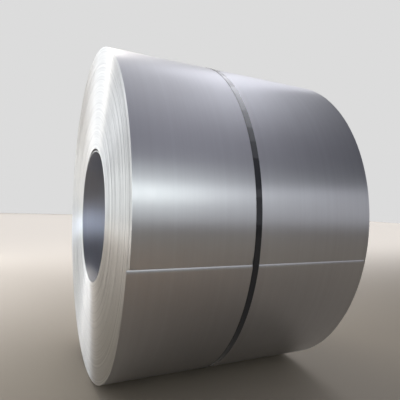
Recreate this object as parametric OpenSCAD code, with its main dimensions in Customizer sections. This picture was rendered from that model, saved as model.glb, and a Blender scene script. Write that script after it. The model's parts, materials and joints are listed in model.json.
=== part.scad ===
// Steel coil: a wound roll of steel strip that lies on its side, with one packing strap round its girth.
// X runs along the coil's axis from its near end to its far end, -Y is its front, and the floor is at z = 0.

/* [Coil] */
// Outside diameter over the last turn (mm)
coil_od = 1470; // [1200:10:1900]
// Inside diameter of the bore, which fits a 24 inch mandrel (mm)
coil_id = 610; // [508:1:762]
// Width of the strip, which is the length of the coil (mm)
strip_w = 1000; // [700:10:1500]
// Thickness of the strip (mm)
strip_t = 3; // [1.5:0.1:6]

/* [Turns on the ends] */
// Turns that lie flush with each other in one ring of the end face
ring_turns = 4; // [3:1:8]
// Farthest that one ring stands out past another (mm)
ring_scatter = 1.6; // [0.4:0.1:4]

/* [Tail of the strip] */
// Angle of the strip's free end below the middle of the front (degrees)
tail_drop = 11; // [0:1:40]
// Distance that the free end has wandered out past the near end (mm)
tail_proud = 10; // [2:0.5:20]
// Arc over which the tail comes back in line with the other turns (degrees)
tail_fade = 38; // [20:1:60]
// Air between the tail and the turn under it (mm)
tail_gap = 0.3; // [0.1:0.05:0.6]

/* [Strap] */
// Width of the strap, about 1 inch (mm)
strap_w = 25; // [16:1:40]
// Thickness of the strap (mm)
strap_t = 0.8; // [0.5:0.1:1.5]
// Distance from the near end to the middle of the strap (mm)
strap_at = 455; // [250:5:600]
// Clearance between the strap and the steel under it (mm)
strap_gap = 0.2; // [0.1:0.05:0.4]
// Length over which the strap's two ends lie on each other (mm)
strap_lap = 130; // [80:5:250]

/* [Seal] */
// Length of the seal along the strap (mm)
seal_l = 56; // [35:1:75]
// Thickness of the seal's sheet (mm)
seal_t = 1; // [0.6:0.1:2]
// Clearance between the seal and what it wraps (mm)
seal_gap = 0.2; // [0.1:0.05:0.4]
// Depth of the crimps in the seal's sides (mm)
crimp_d = 3; // [1:0.25:5]
// Width of one crimp (mm)
crimp_w = 5; // [3:0.5:8]
// Distance between the two crimps of one side (mm)
crimp_pitch = 24; // [16:1:28]
// Place of the seal, up from the middle of the front and over the top (degrees)
seal_at = 128; // [60:1:150]

/* [Hidden] */
$fn = 96;

coil_r = coil_od / 2;
bore_r = coil_id / 2;
axis_z = coil_r + strap_gap + strap_t;
reach = coil_od + strip_w;

// The outline steps in by one thickness at the tail. A half circle round the axis runs down from the tail,
// and a slightly smaller one, with its centre moved back by half a thickness, runs on from it over the top.
upper_r = coil_r - strip_t / 2;
upper_back = strip_t / 2;

// The strap leaves the tail's edge on a tangent to the upper half circle.
bridge_turn = acos(upper_r / (coil_r + upper_back));

// Each ring keeps the strip's full width, so it stands in at one end by what it stands out at the other.
ring_count = max(1, round((coil_r - bore_r) / (ring_turns * strip_t)));
ring_w = (coil_r - bore_r) / ring_count;
ring_seed = 11;
ring_out = rands(-ring_scatter / 2, ring_scatter / 2, ring_count, ring_seed);

// The tail's edge lies in a plane that crosses the end face where the tail is back in line.
tail_chord = coil_r * cos(tail_fade);
tail_tilt = atan(tail_proud / (coil_r - tail_chord));
tail_depth = 3 * tail_proud;

// Radii of the lapped strap and of the seal, from the centre of the upper half circle
strap_in = upper_r + strap_gap;
lap_out = strap_in + 2 * strap_t;
seal_out = lap_out + seal_gap + seal_t;
lap_arc = strap_lap / lap_out * 180 / PI;
seal_arc = seal_l / seal_out * 180 / PI;
crimp_arc = crimp_pitch / seal_out * 180 / PI;

// Lays an end view, drawn with x to the front and y up, on its side with its extrusion along the coil's axis
module lay() {
    translate([-strip_w / 2, 0, axis_z]) rotate([90, 0, 90]) mirror([1, 0, 0]) children();
}

// Turns an end view so that its x runs out through the tail's free end
module at_tail() {
    rotate([0, 0, -tail_drop]) children();
}

// Half plane above the tail's line, or above a line that much higher
module above_tail(higher = 0) {
    translate([-reach, higher]) square([2 * reach, reach]);
}

// Disc round the centre of the upper half circle
module upper_disc(radius) {
    translate([-upper_back, 0]) circle(radius);
}

// Outline of the coil, grown by a distance, with its step at the tail
module outline(grow) {
    at_tail() {
        difference() {
            circle(coil_r + grow);
            above_tail();
        }
        intersection() {
            upper_disc(upper_r + grow);
            above_tail();
        }
    }
}

// Outline that a tight strap follows: it bridges the step from the tail's edge to the turn above
module strap_outline(grow) {
    outline(grow);
    at_tail() polygon([
        [-upper_back, 0],
        [coil_r + grow, 0],
        [coil_r + grow * cos(bridge_turn), grow * sin(bridge_turn)],
        [(upper_r + grow) * cos(bridge_turn) - upper_back, (upper_r + grow) * sin(bridge_turn)]
    ]);
}

// Sector of an end view, centred on one angle
module sector(middle, arc) {
    rotate(middle) polygon([[0, 0], reach * [1, -tan(arc / 2)], reach * [1, tan(arc / 2)]]);
}

// Rings of turns from the bore to past the outline, turned about the coil's axis
module wound_rings() {
    near_end = [for (i = [0 : ring_count - 1]) each [
        [bore_r + i * ring_w, ring_out[i]],
        [bore_r + (i + 1) * ring_w, ring_out[i]]
    ]];
    rim = [
        [coil_r + ring_w, ring_out[ring_count - 1]],
        [coil_r + ring_w, strip_w + ring_out[ring_count - 1]]
    ];
    far_end = [for (i = [ring_count - 1 : -1 : 0]) each [
        [bore_r + (i + 1) * ring_w, strip_w + ring_out[i]],
        [bore_r + i * ring_w, strip_w + ring_out[i]]
    ]];
    rotate_extrude() polygon(concat(near_end, rim, far_end));
}

// Last turn of the strip on the inner side of a slanted edge that starts at one end of the coil
module tail_turn(end) {
    intersection() {
        translate([0, 0, end - tail_depth]) linear_extrude(2 * tail_depth) difference() {
            circle(coil_r + 2 * ring_w);
            circle(coil_r - strip_t + tail_gap);
            at_tail() above_tail(strip_t);
        }
        at_tail() translate([tail_chord, 0, end]) rotate([0, tail_tilt, 0])
            translate([0, -reach, 0]) cube([reach, 2 * reach, reach]);
    }
}

module steel_coil() {
    color("silver") lay() intersection() {
        difference() {
            union() {
                wound_rings();
                tail_turn(0);
            }
            tail_turn(strip_w);
        }
        translate([0, 0, -tail_depth]) linear_extrude(strip_w + 2 * tail_depth) outline(0);
    }
}

module strap() {
    color("midnightblue") lay() translate([0, 0, strap_at - strap_w / 2]) linear_extrude(strap_w) difference() {
        union() {
            strap_outline(strap_gap + strap_t);
            intersection() {
                at_tail() upper_disc(lap_out);
                sector(seal_at, lap_arc);
            }
        }
        strap_outline(strap_gap);
    }
}

// Sheet folded over the lapped strap and down both its edges, crimped at two places
module strap_seal() {
    inner_w = strap_w / 2 + seal_gap;
    outer_w = inner_w + seal_t;
    fold = [
        [upper_r + seal_gap, -outer_w],
        [seal_out, -outer_w],
        [seal_out, outer_w],
        [upper_r + seal_gap, outer_w],
        [upper_r + seal_gap, inner_w],
        [lap_out + seal_gap, inner_w],
        [lap_out + seal_gap, -inner_w],
        [upper_r + seal_gap, -inner_w]
    ];
    color("dimgray") lay() translate([0, 0, strap_at]) at_tail() translate([-upper_back, 0, 0])
        rotate([0, 0, seal_at + tail_drop]) difference() {
            rotate([0, 0, -seal_arc / 2]) rotate_extrude(angle = seal_arc) polygon(fold);
            for (place = [-crimp_arc / 2, crimp_arc / 2], side = [-1, 1])
                rotate([0, 0, place]) translate([seal_out, 0, side * outer_w])
                    cube([coil_r / 10, crimp_w, 2 * crimp_d], center = true);
        }
}

steel_coil();
strap();
strap_seal();
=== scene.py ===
import json
from math import cos, pi, radians, sin

import bmesh
import bpy
from mathutils import Matrix, Vector


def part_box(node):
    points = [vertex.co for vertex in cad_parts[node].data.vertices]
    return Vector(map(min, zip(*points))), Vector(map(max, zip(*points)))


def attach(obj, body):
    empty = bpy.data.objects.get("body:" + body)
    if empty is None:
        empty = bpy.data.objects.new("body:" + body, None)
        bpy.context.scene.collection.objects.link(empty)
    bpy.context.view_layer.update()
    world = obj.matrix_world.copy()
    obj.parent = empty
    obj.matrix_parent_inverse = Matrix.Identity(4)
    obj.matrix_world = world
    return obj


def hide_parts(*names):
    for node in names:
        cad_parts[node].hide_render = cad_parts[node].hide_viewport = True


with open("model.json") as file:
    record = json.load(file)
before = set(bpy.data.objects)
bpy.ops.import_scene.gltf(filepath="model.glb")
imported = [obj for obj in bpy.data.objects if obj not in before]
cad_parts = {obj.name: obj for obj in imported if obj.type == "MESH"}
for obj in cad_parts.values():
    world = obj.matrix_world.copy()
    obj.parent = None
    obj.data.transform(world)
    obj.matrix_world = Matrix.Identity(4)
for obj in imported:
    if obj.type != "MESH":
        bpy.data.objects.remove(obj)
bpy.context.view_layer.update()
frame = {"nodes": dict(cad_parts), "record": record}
scene = bpy.context.scene
print("frame loaded", sorted(frame["nodes"]))

# the coil's own measures, in metres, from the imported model
boreMount = next(m for m in frame["record"]["mounts"] if m["name"] == "bore")
axisZ = boreMount["pos_m"][2]
boreR = boreMount["dims"]["r_mm"] / 1000
stripWide = boreMount["dims"]["length_mm"] / 1000
strapLow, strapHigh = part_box("strap")
strapMid = (strapLow.x + strapHigh.x) / 2
strapWide = strapHigh.x - strapLow.x


def toLinear(hexColour):
    parts = [int(hexColour[i:i + 2], 16) / 255 for i in (1, 3, 5)]
    return [p / 12.92 if p <= 0.04045 else ((p + 0.055) / 1.055) ** 2.4 for p in parts] + [1.0]


def addNode(tree, kind, settings=None, links=None):
    # one node with its settings; a link is an output socket, and anything else is a fixed value
    node = tree.nodes.new(kind)
    for name, value in (settings or {}).items():
        setattr(node, name, value)
    for socket, value in (links or {}).items():
        if isinstance(value, bpy.types.NodeSocket):
            tree.links.new(value, node.inputs[socket])
        else:
            node.inputs[socket].default_value = value
    return node


def workOut(tree, kind, known, sums):
    # adds the nodes of each named sum: an operation, and known names, values or further sums that go into it
    def put(part):
        if isinstance(part, str):
            return known[part]
        if not isinstance(part, tuple):
            return part
        operation, *parts = part
        links = {place: put(inner) for place, inner in enumerate(parts)}
        return addNode(tree, kind, {"operation": operation}, links).outputs[0]

    for name, part in sums.items():
        known[name] = put(part)


# camera

cameraPlace = {
    "place": Vector((-0.818, -2.0153, axisZ + 0.0845)),
    "yaw": 29.46,              # degrees right of straight on
    "pitch": -1.54,
    "roll": 2.25,
    "sensor": 36.0,            # mm
    "lens": 37.48,             # mm
    "shift": (-0.12, 0.035),   # the photograph is cropped off its lens's middle
}


def placeCamera(c):
    yaw, pitch, roll = (radians(c[k]) for k in ("yaw", "pitch", "roll"))
    ahead = Vector((sin(yaw) * cos(pitch), cos(yaw) * cos(pitch), sin(pitch)))
    right = Vector((cos(yaw), -sin(yaw), 0))
    up = right.cross(ahead)
    right, up = right * cos(roll) + up * sin(roll), up * cos(roll) - right * sin(roll)
    data = bpy.data.cameras.new("photoCamera")
    data.lens = c["lens"]
    data.sensor_width = c["sensor"]
    data.shift_x, data.shift_y = c["shift"]
    camera = bpy.data.objects.new("photoCamera", data)
    turn = Matrix((right, up, -ahead)).transposed().to_4x4()
    camera.matrix_world = Matrix.Translation(c["place"]) @ turn
    scene.collection.objects.link(camera)
    scene.camera = camera


placeCamera(cameraPlace)
print("camera placed")

# materials

patternRange = (0.3, 0.7)      # noise seldom leaves this range
crossways = 0.25               # a quarter turn, so that a highlight is drawn out across the tangent

rolledSteel = {
    "tones": ("#c5c5c9", "#cfd0d4"),
    "outside": (0.31, 0.36),   # roughness
    "bore": (0.52, 0.58),      # the bore was never wiped, and is duller
    "drawnOut": 0.6,
    "streakMm": 38.46,         # real streaks are finer, and would not show
    "smudgeMm": 384.6,
}
slitSteel = {
    "tones": ("#cfd0d0", "#e6e7e6"),
    "edge": (0.42, 0.34),      # roughness
    "drawnOut": 1.0,
    "bandMm": 9.09,            # three turns, because one alone is too fine to show
}
strapCoat = {
    "paint": "#22242b",
    "scuffed": "#43464e",
    "scuffMm": 16.67,
    "scuffShare": (0.5, 0.66),     # of the noise, over which the paint wears through
    "scuffEdge": (0.42, 0.5),      # of the width, out from the strap's middle
}


def newMaterial(name, fixed):
    m = bpy.data.materials.new(name)
    m.use_nodes = True
    sockets = m.node_tree.nodes["Principled BSDF"].inputs
    for socket, value in fixed.items():
        sockets[socket].default_value = value
    return m, m.node_tree, sockets


def shadeByPattern(tree, sockets, pattern, tones, satin):
    # one pattern sets both the tone and the roughness
    low, high = patternRange
    tone = addNode(tree, "ShaderNodeValToRGB", None, {0: pattern})
    for stop, place, colour in zip(tone.color_ramp.elements, patternRange, tones):
        stop.position, stop.color = place, toLinear(colour)
    tree.links.new(tone.outputs[0], sockets["Base Color"])
    rough = addNode(tree, "ShaderNodeMapRange", None, {
        "Value": pattern, "From Min": low, "From Max": high, "To Min": satin[0], "To Max": satin[1]})
    tree.links.new(rough.outputs[0], sockets["Roughness"])


def coldRolledSteel(name, c, satin):
    # cold-rolled strip under a film of oil: a bright satin mirror, drawn out across the rolling direction
    m, tree, sockets = newMaterial(name, {
        "Metallic": 1.0, "Anisotropic": c["drawnOut"], "Anisotropic Rotation": crossways})
    tangent = addNode(tree, "ShaderNodeTangent", {"direction_type": "UV_MAP", "uv_map": "UVMap"})
    tree.links.new(tangent.outputs[0], sockets["Tangent"])
    spot = addNode(tree, "ShaderNodeTexCoord").outputs["Object"]
    across = addNode(tree, "ShaderNodeSeparateXYZ", None, {0: spot}).outputs["X"]
    # rolling streaks run round the coil, so they change only across the strip
    streaks = addNode(tree, "ShaderNodeTexNoise", {"noise_dimensions": "1D"}, {
        "W": across, "Scale": 1000 / c["streakMm"], "Detail": 6.0, "Roughness": 0.7})
    # the oil lies in broad soft smudges
    oil = addNode(tree, "ShaderNodeTexNoise", None, {
        "Vector": spot, "Scale": 1000 / c["smudgeMm"], "Detail": 4.0, "Roughness": 0.55})
    worn = addNode(tree, "ShaderNodeMix", {"data_type": "FLOAT"}, {
        0: 0.5, 2: streaks.outputs[0], 3: oil.outputs[0]})
    shadeByPattern(tree, sockets, worn.outputs[0], c["tones"], satin)
    return m


def slitEdge(c):
    # slit edges of the turns side by side: bare bright steel, combed round the bore like a turned face
    m, tree, sockets = newMaterial("slitEdge", {
        "Metallic": 1.0, "Anisotropic": c["drawnOut"], "Anisotropic Rotation": crossways})
    # the tangent and the turns both go round the coil's axis, which lies above the origin
    known = {"spot": addNode(tree, "ShaderNodeTexCoord").outputs["Object"]}
    workOut(tree, "ShaderNodeVectorMath", known, {
        "spoke": ("MULTIPLY", ("SUBTRACT", "spot", Vector((0, 0, axisZ))), Vector((0, 1, 1))),
        "combed": ("NORMALIZE", ("CROSS_PRODUCT", Vector((1, 0, 0)), "spoke")),
    })
    tree.links.new(known["combed"], sockets["Tangent"])
    radius = addNode(tree, "ShaderNodeVectorMath", {"operation": "LENGTH"}, {0: known["spoke"]})
    bands = addNode(tree, "ShaderNodeTexNoise", {"noise_dimensions": "1D"}, {
        "W": radius.outputs["Value"], "Scale": 1000 / c["bandMm"], "Detail": 4.0, "Roughness": 0.7})
    shadeByPattern(tree, sockets, bands.outputs[0], c["tones"], c["edge"])
    return m


def strapPaint(c):
    # painted and waxed strapping steel: blue-black and glossy, scuffed grey along its two edges
    m, tree, sockets = newMaterial("strapPaint", {
        "Roughness": 0.32, "Specular IOR Level": 0.1, "Coat Weight": 1.0, "Coat Roughness": 0.05,
        "Sheen Weight": 0.15})
    spot = addNode(tree, "ShaderNodeTexCoord").outputs["Object"]
    known = {"across": addNode(tree, "ShaderNodeSeparateXYZ", None, {0: spot}).outputs["X"]}
    workOut(tree, "ShaderNodeMath", known, {"offMiddle": ("ABSOLUTE", ("SUBTRACT", "across", strapMid))})
    scuffs = addNode(tree, "ShaderNodeTexNoise", None, {
        "Vector": spot, "Scale": 1000 / c["scuffMm"], "Detail": 5.0})
    begin, full = (strapWide * share for share in c["scuffEdge"])
    known["edge"] = addNode(tree, "ShaderNodeMapRange", None, {
        "Value": known["offMiddle"], "From Min": begin, "From Max": full}).outputs[0]
    begin, full = c["scuffShare"]
    known["bare"] = addNode(tree, "ShaderNodeMapRange", None, {
        "Value": scuffs.outputs[0], "From Min": begin, "From Max": full}).outputs[0]
    workOut(tree, "ShaderNodeMath", known, {"worn": ("MULTIPLY", "edge", "bare")})
    tone = addNode(tree, "ShaderNodeMix", {"data_type": "RGBA"}, {
        0: known["worn"], 6: toLinear(c["paint"]), 7: toLinear(c["scuffed"])})
    tree.links.new(tone.outputs[2], sockets["Base Color"])
    return m


steelMaterial = coldRolledSteel("coldRolledSteel", rolledSteel, rolledSteel["outside"])
boreMaterial = coldRolledSteel("dullColdRolledSteel", rolledSteel, rolledSteel["bore"])
edgeMaterial = slitEdge(slitSteel)
strapMaterial = strapPaint(strapCoat)
# japanned seal: the same dark coat as the strap, a little greyer and duller, as the real seal is where it was
# crimped; here the whole seal gets that coat evenly
sealMaterial = newMaterial("sealPaint", {"Base Color": toLinear("#3c3f44"), "Roughness": 0.42})[0]
print("materials mixed")

# how a strip is bent from a flat mesh


def newTree(name, sizes):
    # a geometry tree with a named input for each size; it also knows each point's place and how a face looks
    tree = bpy.data.node_groups.new(name, "GeometryNodeTree")
    tree.interface.new_socket("Geometry", in_out="OUTPUT", socket_type="NodeSocketGeometry")
    for label, value in sizes.items():
        kind = "NodeSocketInt" if isinstance(value, int) else "NodeSocketFloat"
        tree.interface.new_socket(label, in_out="INPUT", socket_type=kind)
    group = addNode(tree, "NodeGroupInput")
    known = {label: group.outputs[label] for label in sizes}
    place = addNode(tree, "GeometryNodeInputPosition").outputs[0]
    known.update(zip(("atX", "atY", "atZ"), addNode(tree, "ShaderNodeSeparateXYZ", None, {0: place}).outputs))
    facing = addNode(tree, "GeometryNodeInputNormal").outputs[0]
    known["faceX"] = addNode(tree, "ShaderNodeSeparateXYZ", None, {0: facing}).outputs[0]
    workOut(tree, "ShaderNodeMath", known, {"onEnd": ("GREATER_THAN", ("ABSOLUTE", "faceX"), "End Lean")})
    return tree, known


def bendSheet(tree, known, flat):
    # keeps the flat mesh's own map and moves each of its points to x, y, z
    mapped = addNode(tree, "GeometryNodeStoreNamedAttribute", {"data_type": "FLOAT2", "domain": "CORNER"}, {
        "Geometry": flat.outputs["Mesh"], "Name": "UVMap", "Value": flat.outputs["UV Map"]})
    spot = addNode(tree, "ShaderNodeCombineXYZ", None, {0: known["x"], 1: known["y"], 2: known["z"]})
    moved = addNode(tree, "GeometryNodeSetPosition", None, {
        "Geometry": mapped.outputs[0], "Position": spot.outputs[0]})
    return moved.outputs[0]


def endTree(tree, geometry, coats):
    # each coat is a material and the faces that get it
    for material, where in coats:
        geometry = addNode(tree, "GeometryNodeSetMaterial", None, {
            "Geometry": geometry, "Selection": where, "Material": material}).outputs[0]
    whole = addNode(tree, "GeometryNodeRealizeInstances", None, {0: geometry})
    addNode(tree, "NodeGroupOutput", None, {0: whole.outputs[0]})


def growMesh(name, tree, sizes):
    # runs the tree on an empty object and keeps the result as a plain, closed mesh
    piece = bpy.data.objects.new(name, bpy.data.meshes.new(name))
    scene.collection.objects.link(piece)
    modifier = piece.modifiers.new("shape", "NODES")
    modifier.node_group = tree
    for item in tree.interface.items_tree:
        if item.in_out == "INPUT":
            modifier[item.identifier] = sizes[item.name]
    evaluated = piece.evaluated_get(bpy.context.evaluated_depsgraph_get())
    mesh = bpy.data.meshes.new_from_object(evaluated)
    piece.modifiers.remove(modifier)
    piece.data = mesh
    mesh.name = name
    closeShell(piece)
    return piece


def closeShell(piece):
    # fills the flat cut at the strip's inner end, where there is one, and turns every face outwards
    shell = bmesh.new()
    shell.from_mesh(piece.data)
    edges = [e for e in shell.edges if e.is_boundary]
    filled = bmesh.ops.holes_fill(shell, edges=edges, sides=0)
    for face in filled["faces"]:
        face.smooth = False
        for edge in face.edges:
            edge.smooth = False
    bmesh.ops.recalc_face_normals(shell, faces=shell.faces)
    shell.to_mesh(piece.data)
    stillOpen = sum(e.is_boundary for e in shell.edges)
    shell.free()
    print(piece.name, "faces", len(piece.data.polygons), "open edges", stillOpen)


# the wound strip

coil = {
    "Bore Radius": boreR,
    "Turns": 143,
    "Turn Pitch": 0.0030070,       # strip of about 3 mm
    "Strip Width": stripWide,
    "Axis Height": axisZ,
    "Columns": 150,                # steps round one turn
    "Tip Columns": 6,              # finer steps on the rounded free end
    "Near Tip Round": 0.050,       # bend of the free end, softer at the near end
    "Far Tip Round": 0.032,
    "Tail Drop": radians(11),      # free end below the middle of the front
    "Tail Proud": 0.010,           # free end's wander out of the near end
    "Tail Fade": radians(38),
    "Wander": 0.0009,              # in and out play of the turns' edges
    "Wander Waves": 0.6,           # in one turn
    "Weld": 0.00005,
    "Step Crease": -0.35,          # edges folded in past this angle stay crisp
    "Rim Crease": 1.4,             # and so do edges bent past this one
    "End Lean": 0.2,               # faces that look this far along the axis are slit edges
}


def windStrip(c):
    tree, known = newTree("woundStrip", c)

    # one grid: its columns run round the coil, and its rows run out over the near end, along the outside,
    # in over the far end and back along the bore
    workOut(tree, "ShaderNodeMath", known, {
        "endRows": ("MULTIPLY", "Turns", 2),
        "allRows": ("MULTIPLY", "endRows", 2),
        "gridColumns": ("ADD", "Columns", 1),
        "gridRows": ("ADD", "allRows", 1),
    })
    grid = addNode(tree, "GeometryNodeMeshGrid", None, {
        "Size X": 1.0, "Size Y": 1.0, "Vertices X": known["gridColumns"], "Vertices Y": known["gridRows"]})
    workOut(tree, "ShaderNodeMath", known, {
        "column": ("MULTIPLY", ("ADD", "atX", 0.5), "Columns"),
        "gridRow": ("ROUND", ("MULTIPLY", ("ADD", "atY", 0.5), "allRows")),
        "row": ("MODULO", "gridRow", "allRows"),
        "fromBore": ("MINIMUM", "row", ("SUBTRACT", ("SUBTRACT", "allRows", 1), "row")),
        "layer": ("FLOOR", ("MULTIPLY_ADD", "fromBore", 0.5, 0.1)),
        "turn": ("ADD", "layer", ("MODULO", "fromBore", 2)),
        "farSide": ("GREATER_THAN", "row", ("SUBTRACT", "endRows", 0.5)),
        "lastLayer": ("SUBTRACT", "Turns", 1),

        # angle up from the free end, with finer columns on its rounded tip
        "mainColumns": ("SUBTRACT", "Columns", "Tip Columns"),
        "alongMain": ("DIVIDE", ("MINIMUM", "column", "mainColumns"), "mainColumns"),
        "alongTip": ("DIVIDE", ("MAXIMUM", ("SUBTRACT", "column", "mainColumns"), 0), "Tip Columns"),
        "tipGrowth": ("SUBTRACT", "Far Tip Round", "Near Tip Round"),
        "tipRound": ("MULTIPLY_ADD", "farSide", "tipGrowth", "Near Tip Round"),
        "tipTurn": ("ARCCOSINE", ("SUBTRACT", 1, ("DIVIDE", "Turn Pitch", "tipRound"))),
        "tipAngle": ("MULTIPLY", "alongTip", "tipTurn"),
        "coilR": ("MULTIPLY_ADD", "Turns", "Turn Pitch", "Bore Radius"),
        "tipShare": ("DIVIDE", "tipRound", "coilR"),
        "tipArc": ("MULTIPLY", "tipShare", ("SINE", "tipTurn")),
        "mainArc": ("MULTIPLY", "alongMain", ("SUBTRACT", 2 * pi, "tipArc")),
        "angle": ("MULTIPLY_ADD", "tipShare", ("SINE", "tipAngle"), "mainArc"),

        # radius: one pitch out for each turn, gained over the top half, and rounded off at the tip
        "gain": ("MULTIPLY", ("SUBTRACT", 1, ("COSINE", ("MINIMUM", "angle", pi))), 0.5),
        "onLast": ("MAXIMUM", ("SUBTRACT", "turn", "lastLayer"), 0),
        "tipDrop": ("MULTIPLY", "tipRound", ("SUBTRACT", 1, ("COSINE", "tipAngle"))),
        "wound": ("SUBTRACT", ("ADD", "turn", "gain"), 1),
        "fullRadius": ("MULTIPLY_ADD", "wound", "Turn Pitch", "Bore Radius"),
        "radius": ("SUBTRACT", "fullRadius", ("MULTIPLY", "onLast", "tipDrop")),
        "along": ("MULTIPLY_ADD", "angle", 0.5 / pi, "layer"),
    })

    # edge: flat across each turn, with a wander along the strip and the tail's slanted end
    known["play"] = addNode(tree, "ShaderNodeTexNoise", {"noise_dimensions": "1D"}, {
        "W": known["along"], "Scale": known["Wander Waves"], "Detail": 2.0, "Roughness": 0.7}).outputs[0]
    workOut(tree, "ShaderNodeMath", known, {
        "wander": ("MULTIPLY", ("SUBTRACT", "play", 0.5), ("MULTIPLY", "Wander", 2)),
        "fadeCos": ("COSINE", "Tail Fade"),
        "tailShare": ("DIVIDE", ("SUBTRACT", ("COSINE", "angle"), "fadeCos"), ("SUBTRACT", 1, "fadeCos")),
        "onTail": ("MULTIPLY", ("GREATER_THAN", "angle", pi), ("COMPARE", "layer", "lastLayer", 0.1)),
        "tailOut": ("MULTIPLY", ("MULTIPLY", ("MAXIMUM", "tailShare", 0), "onTail"), "Tail Proud"),
        "endX": ("MULTIPLY", ("SUBTRACT", "farSide", 0.5), "Strip Width"),
        "x": ("SUBTRACT", ("ADD", "endX", "wander"), "tailOut"),
        "upFront": ("SUBTRACT", "angle", "Tail Drop"),
        "y": ("MULTIPLY", ("MULTIPLY", ("COSINE", "upFront"), "radius"), -1),
        "z": ("MULTIPLY_ADD", ("SINE", "upFront"), "radius", "Axis Height"),
    })
    welded = addNode(tree, "GeometryNodeMergeByDistance", None, {
        "Geometry": bendSheet(tree, known, grid), "Distance": known["Weld"]})
    smooth = addNode(tree, "GeometryNodeSetShadeSmooth", None, {"Geometry": welded.outputs[0]})

    # the steps between turns and the rims stay crisp, and the bore keeps its own dull steel
    bend = addNode(tree, "GeometryNodeInputMeshEdgeAngle")
    known["bend"], known["fold"] = bend.outputs["Unsigned Angle"], bend.outputs["Signed Angle"]
    workOut(tree, "ShaderNodeMath", known, {
        "crisp": ("MAXIMUM", ("LESS_THAN", "fold", "Step Crease"), ("GREATER_THAN", "bend", "Rim Crease")),
        "offAxis": ("SUBTRACT", "atZ", "Axis Height"),
        "reach": ("SQRT", ("MULTIPLY_ADD", "offAxis", "offAxis", ("MULTIPLY", "atY", "atY"))),
        "inBore": ("MULTIPLY", ("LESS_THAN", "reach", "Bore Radius"), ("SUBTRACT", 1, "onEnd")),
    })
    sharp = addNode(tree, "GeometryNodeStoreNamedAttribute", {"data_type": "BOOLEAN", "domain": "EDGE"}, {
        "Geometry": smooth.outputs[0], "Name": "sharp_edge", "Value": known["crisp"]})
    endTree(tree, sharp.outputs[0], (
        (steelMaterial, True), (edgeMaterial, known["onEnd"]), (boreMaterial, known["inBore"])))
    return growMesh("woundCoil", tree, c)


woundCoil = windStrip(coil)
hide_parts("steel_coil")
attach(woundCoil, "root")
print("coil wound")

# the innermost turn has sprung loose and hangs a little at the bore's crown

loose = {
    "Bore Radius": boreR,
    "Strip Width": stripWide,
    "Axis Height": axisZ,
    "Points": 49,                  # round its arc
    "Thickness": 0.0030,
    "Drop": 0.011,                 # at the crown
    "Spread": radians(44),         # to either side of the crown
    "Clear": 0.0004,               # from the turn above
    "Set Back": 0.0020,            # of its edges from the end faces
    "End Lean": 0.2,
}


def hangLooseTurn(c):
    tree, known = newTree("looseTurn", c)

    # a unit box: its x is across the strip, its y goes round the bore and its z through the strip
    box = addNode(tree, "GeometryNodeMeshCube", None, {"Size": (1, 1, 1), "Vertices Y": known["Points"]})
    workOut(tree, "ShaderNodeMath", known, {
        "turned": ("MULTIPLY", "atY", ("MULTIPLY", "Spread", 2)),
        "sag": ("MULTIPLY_ADD", ("COSINE", ("MULTIPLY", "atY", 2 * pi)), 0.5, 0.5),
        "through": ("MULTIPLY", ("SUBTRACT", "atZ", 0.5), "Thickness"),
        "outside": ("SUBTRACT", ("SUBTRACT", "Bore Radius", "Clear"), ("MULTIPLY", "sag", "Drop")),
        "radius": ("ADD", "outside", "through"),
        "x": ("MULTIPLY", "atX", ("MULTIPLY_ADD", "Set Back", -2, "Strip Width")),
        "y": ("MULTIPLY", ("SINE", "turned"), "radius"),
        "z": ("MULTIPLY_ADD", ("COSINE", "turned"), "radius", "Axis Height"),
    })
    endTree(tree, bendSheet(tree, known, box), ((boreMaterial, True), (edgeMaterial, known["onEnd"])))
    return growMesh("looseTurn", tree, c)


looseTurn = hangLooseTurn(loose)
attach(looseTurn, "root")
print("loose turn hung")

# strap and seal keep their CAD shape
for name, material in (("strap", strapMaterial), ("strap_seal", sealMaterial)):
    node = frame["nodes"][name]
    node.data.materials.clear()
    node.data.materials.append(material)
print("strap and seal painted")

# floor, room and lights

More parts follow.
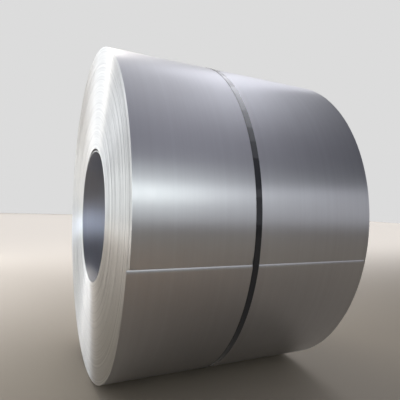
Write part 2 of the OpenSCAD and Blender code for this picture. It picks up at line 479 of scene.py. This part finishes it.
middle = (0, 0, axisZ)
studio = {
    "floor": "#b6ac9d",
    "floorRoughness": 0.75,
    "floorSize": 36.0,
    "room": "#b4b4be",
    # parts of the room that differ, each with the shares of a view's direction over which it begins
    "zones": (
        ("#54545a", (("X", 0.20, 0.0),)),                                         # dark to the left
        ("#2b2c31", (("X", 0.42, 0.66),)),                                        # dimmer to the right
        ("#bcbcc1", (("X", 0.10, 0.30), ("Y", -0.2, -0.6), ("Z", 0.42, 0.16))),   # brighter low in front
        ("#dcdcdc", (("Y", 0.05, 0.40), ("Z", 0.62, 0.46))),                      # pale backdrop
        # overhead
        ("#eff0f5", (("X", 0.0, 0.20), ("X", 0.56, 0.45), ("Y", -0.65, 0.55), ("Z", 0.44, 0.66))),
    ),
    # name, place, aim, width, height, brightness of the face, colour, and the spread where a grid narrows it
    "softboxes": (
        ("floorGrid", (6.0, 10.4, 6.0), (6.0, 10.4, 0), 32.0, 16.0, 1.65, "#ebf1ff", 56),
        ("backKey", (-0.6, 3.0, 4.3), middle, 1.5, 1.5, 7.0, "#fff8ee"),
        ("topSoftbox", (2.4, 2.8, 5.0), middle, 1.6, 3.2, 0.52, "#f4f4ff"),
        # five narrow strips in the line that the strap mirrors, so that its top fades into the glare
        ("strapBackStrip", (2.06, 2.2, 5.0), (0.01, 2.51, 1.1), 1.8, 0.13, 1.3, "#f4f6ff"),
        ("strapTopStrip", (1.91, 0.32, 5.0), (-0.16, 0.32, 1.1), 1.95, 0.13, 3.5, "#f4f6ff"),
        ("strapFrontStrip", (2.06, -1.25, 5.0), (0.03, -1.64, 1.1), 1.3, 0.13, 2.6, "#f4f6ff"),
        ("strapLowStrip", (2.36, -2.42, 5.0), (0.39, -3.04, 1.1), 1.1, 0.13, 1.3, "#f4f6ff"),
        ("strapFootStrip", (2.84, -3.72, 5.0), (0.93, -4.51, 1.1), 1.6, 0.15, 0.65, "#f4f6ff"),
        ("endPanel", (-1.40, 4.0, 2.1), (-0.5, 0, 1.0), 0.86, 3.8, 0.80, "#f8fbff"),
        ("frontSoftbox", (0.45, -5.0, 2.17), middle, 1.4, 0.8, 3.3, "#f1f9f4"),
        ("frontScrim", (0.4, -5.2, 2.25), middle, 2.0, 3.2, 0.80, "#f1f9f4"),
        ("frontStrip", (3.0, -5.0, 2.5), middle, 3.0, 0.5, 0.5, "#f4f6ff"),
        ("frontPool", (-0.6, -2.0, 3.0), (-0.6, -2.0, 0), 0.8, 0.8, 0.7, "#ffcb98", 50),
        ("leftPool", (-1.6, 1.5, 4.0), (-1.6, 1.5, 0), 1.0, 1.0, 1.0, "#eef3ff", 40),
        ("leftPanel", (-3.5, 1.5, 1.0), (-0.5, 0, 0.8), 2.6, 1.8, 0.18, "#f8fbf8", 60),
        ("leftHighPanel", (-2.9, 2.3, 2.5), (-0.5, 0, 0.8), 2.6, 2.2, 0.19, "#f8fbff", 60),
        ("leftLowPanel", (-2.3, 4.0, 0.8), (-0.5, 0, 0.5), 1.4, 1.0, 0.21, "#f8fbff", 60),
        ("leftFloorGrid", (-5.6, 2.5, 5.0), (-5.6, 2.5, 0), 6.0, 5.0, 1.6, "#f4f6ff", 56),
        ("boreFill", (-1.06, -0.62, 0.97), (-0.42, 0.28, 0.70), 0.2, 0.2, 2.5, "#dce8ff", 45),
    ),
}


def layFloor(c):
    # matt painted floor: plain and pale, with soft shadows
    s = c["floorSize"] / 2
    mesh = bpy.data.meshes.new("studioFloor")
    mesh.from_pydata([(-s, -s, 0), (s, -s, 0), (s, s, 0), (-s, s, 0)], [], [(0, 1, 2, 3)])
    floor = bpy.data.objects.new("studioFloor", mesh)
    paleFloor = {"Base Color": toLinear(c["floor"]), "Roughness": c["floorRoughness"]}
    mesh.materials.append(newMaterial("paleFloor", paleFloor)[0])
    scene.collection.objects.link(floor)


def paintRoom(c):
    world = bpy.data.worlds.new("studioRoom")
    world.use_nodes = True
    tree = world.node_tree
    facing = addNode(tree, "ShaderNodeSeparateXYZ", None, {
        0: addNode(tree, "ShaderNodeTexCoord").outputs["Generated"]})
    tone = toLinear(c["room"])
    for colour, ranges in c["zones"]:
        share = 1.0
        for axis, begin, full in ranges:
            rise = addNode(tree, "ShaderNodeMapRange", {"interpolation_type": "SMOOTHSTEP"}, {
                "Value": facing.outputs[axis], "From Min": begin, "From Max": full})
            share = addNode(tree, "ShaderNodeMath", {"operation": "MULTIPLY"}, {
                0: rise.outputs[0], 1: share}).outputs[0]
        tone = addNode(tree, "ShaderNodeMix", {"data_type": "RGBA"}, {
            0: share, 6: tone, 7: toLinear(colour)}).outputs[2]
    tree.links.new(tone, tree.nodes["Background"].inputs["Color"])
    scene.world = world


def hangSoftbox(name, place, aim, wide, high, brightness, colour, spread=180):
    data = bpy.data.lights.new(name, "AREA")
    data.color = toLinear(colour)[:3]
    data.shape = "RECTANGLE"
    data.size = wide
    data.size_y = high
    data.energy = brightness * pi * wide * high
    data.spread = radians(spread)
    lamp = bpy.data.objects.new(name, data)
    lamp.visible_camera = False
    lamp.location = place
    lamp.rotation_euler = (Vector(aim) - Vector(place)).to_track_quat("-Z", "Y").to_euler()
    scene.collection.objects.link(lamp)


layFloor(studio)
paintRoom(studio)
for softbox in studio["softboxes"]:
    hangSoftbox(*softbox)
scene.view_settings.view_transform = "Standard"
print("studio set")
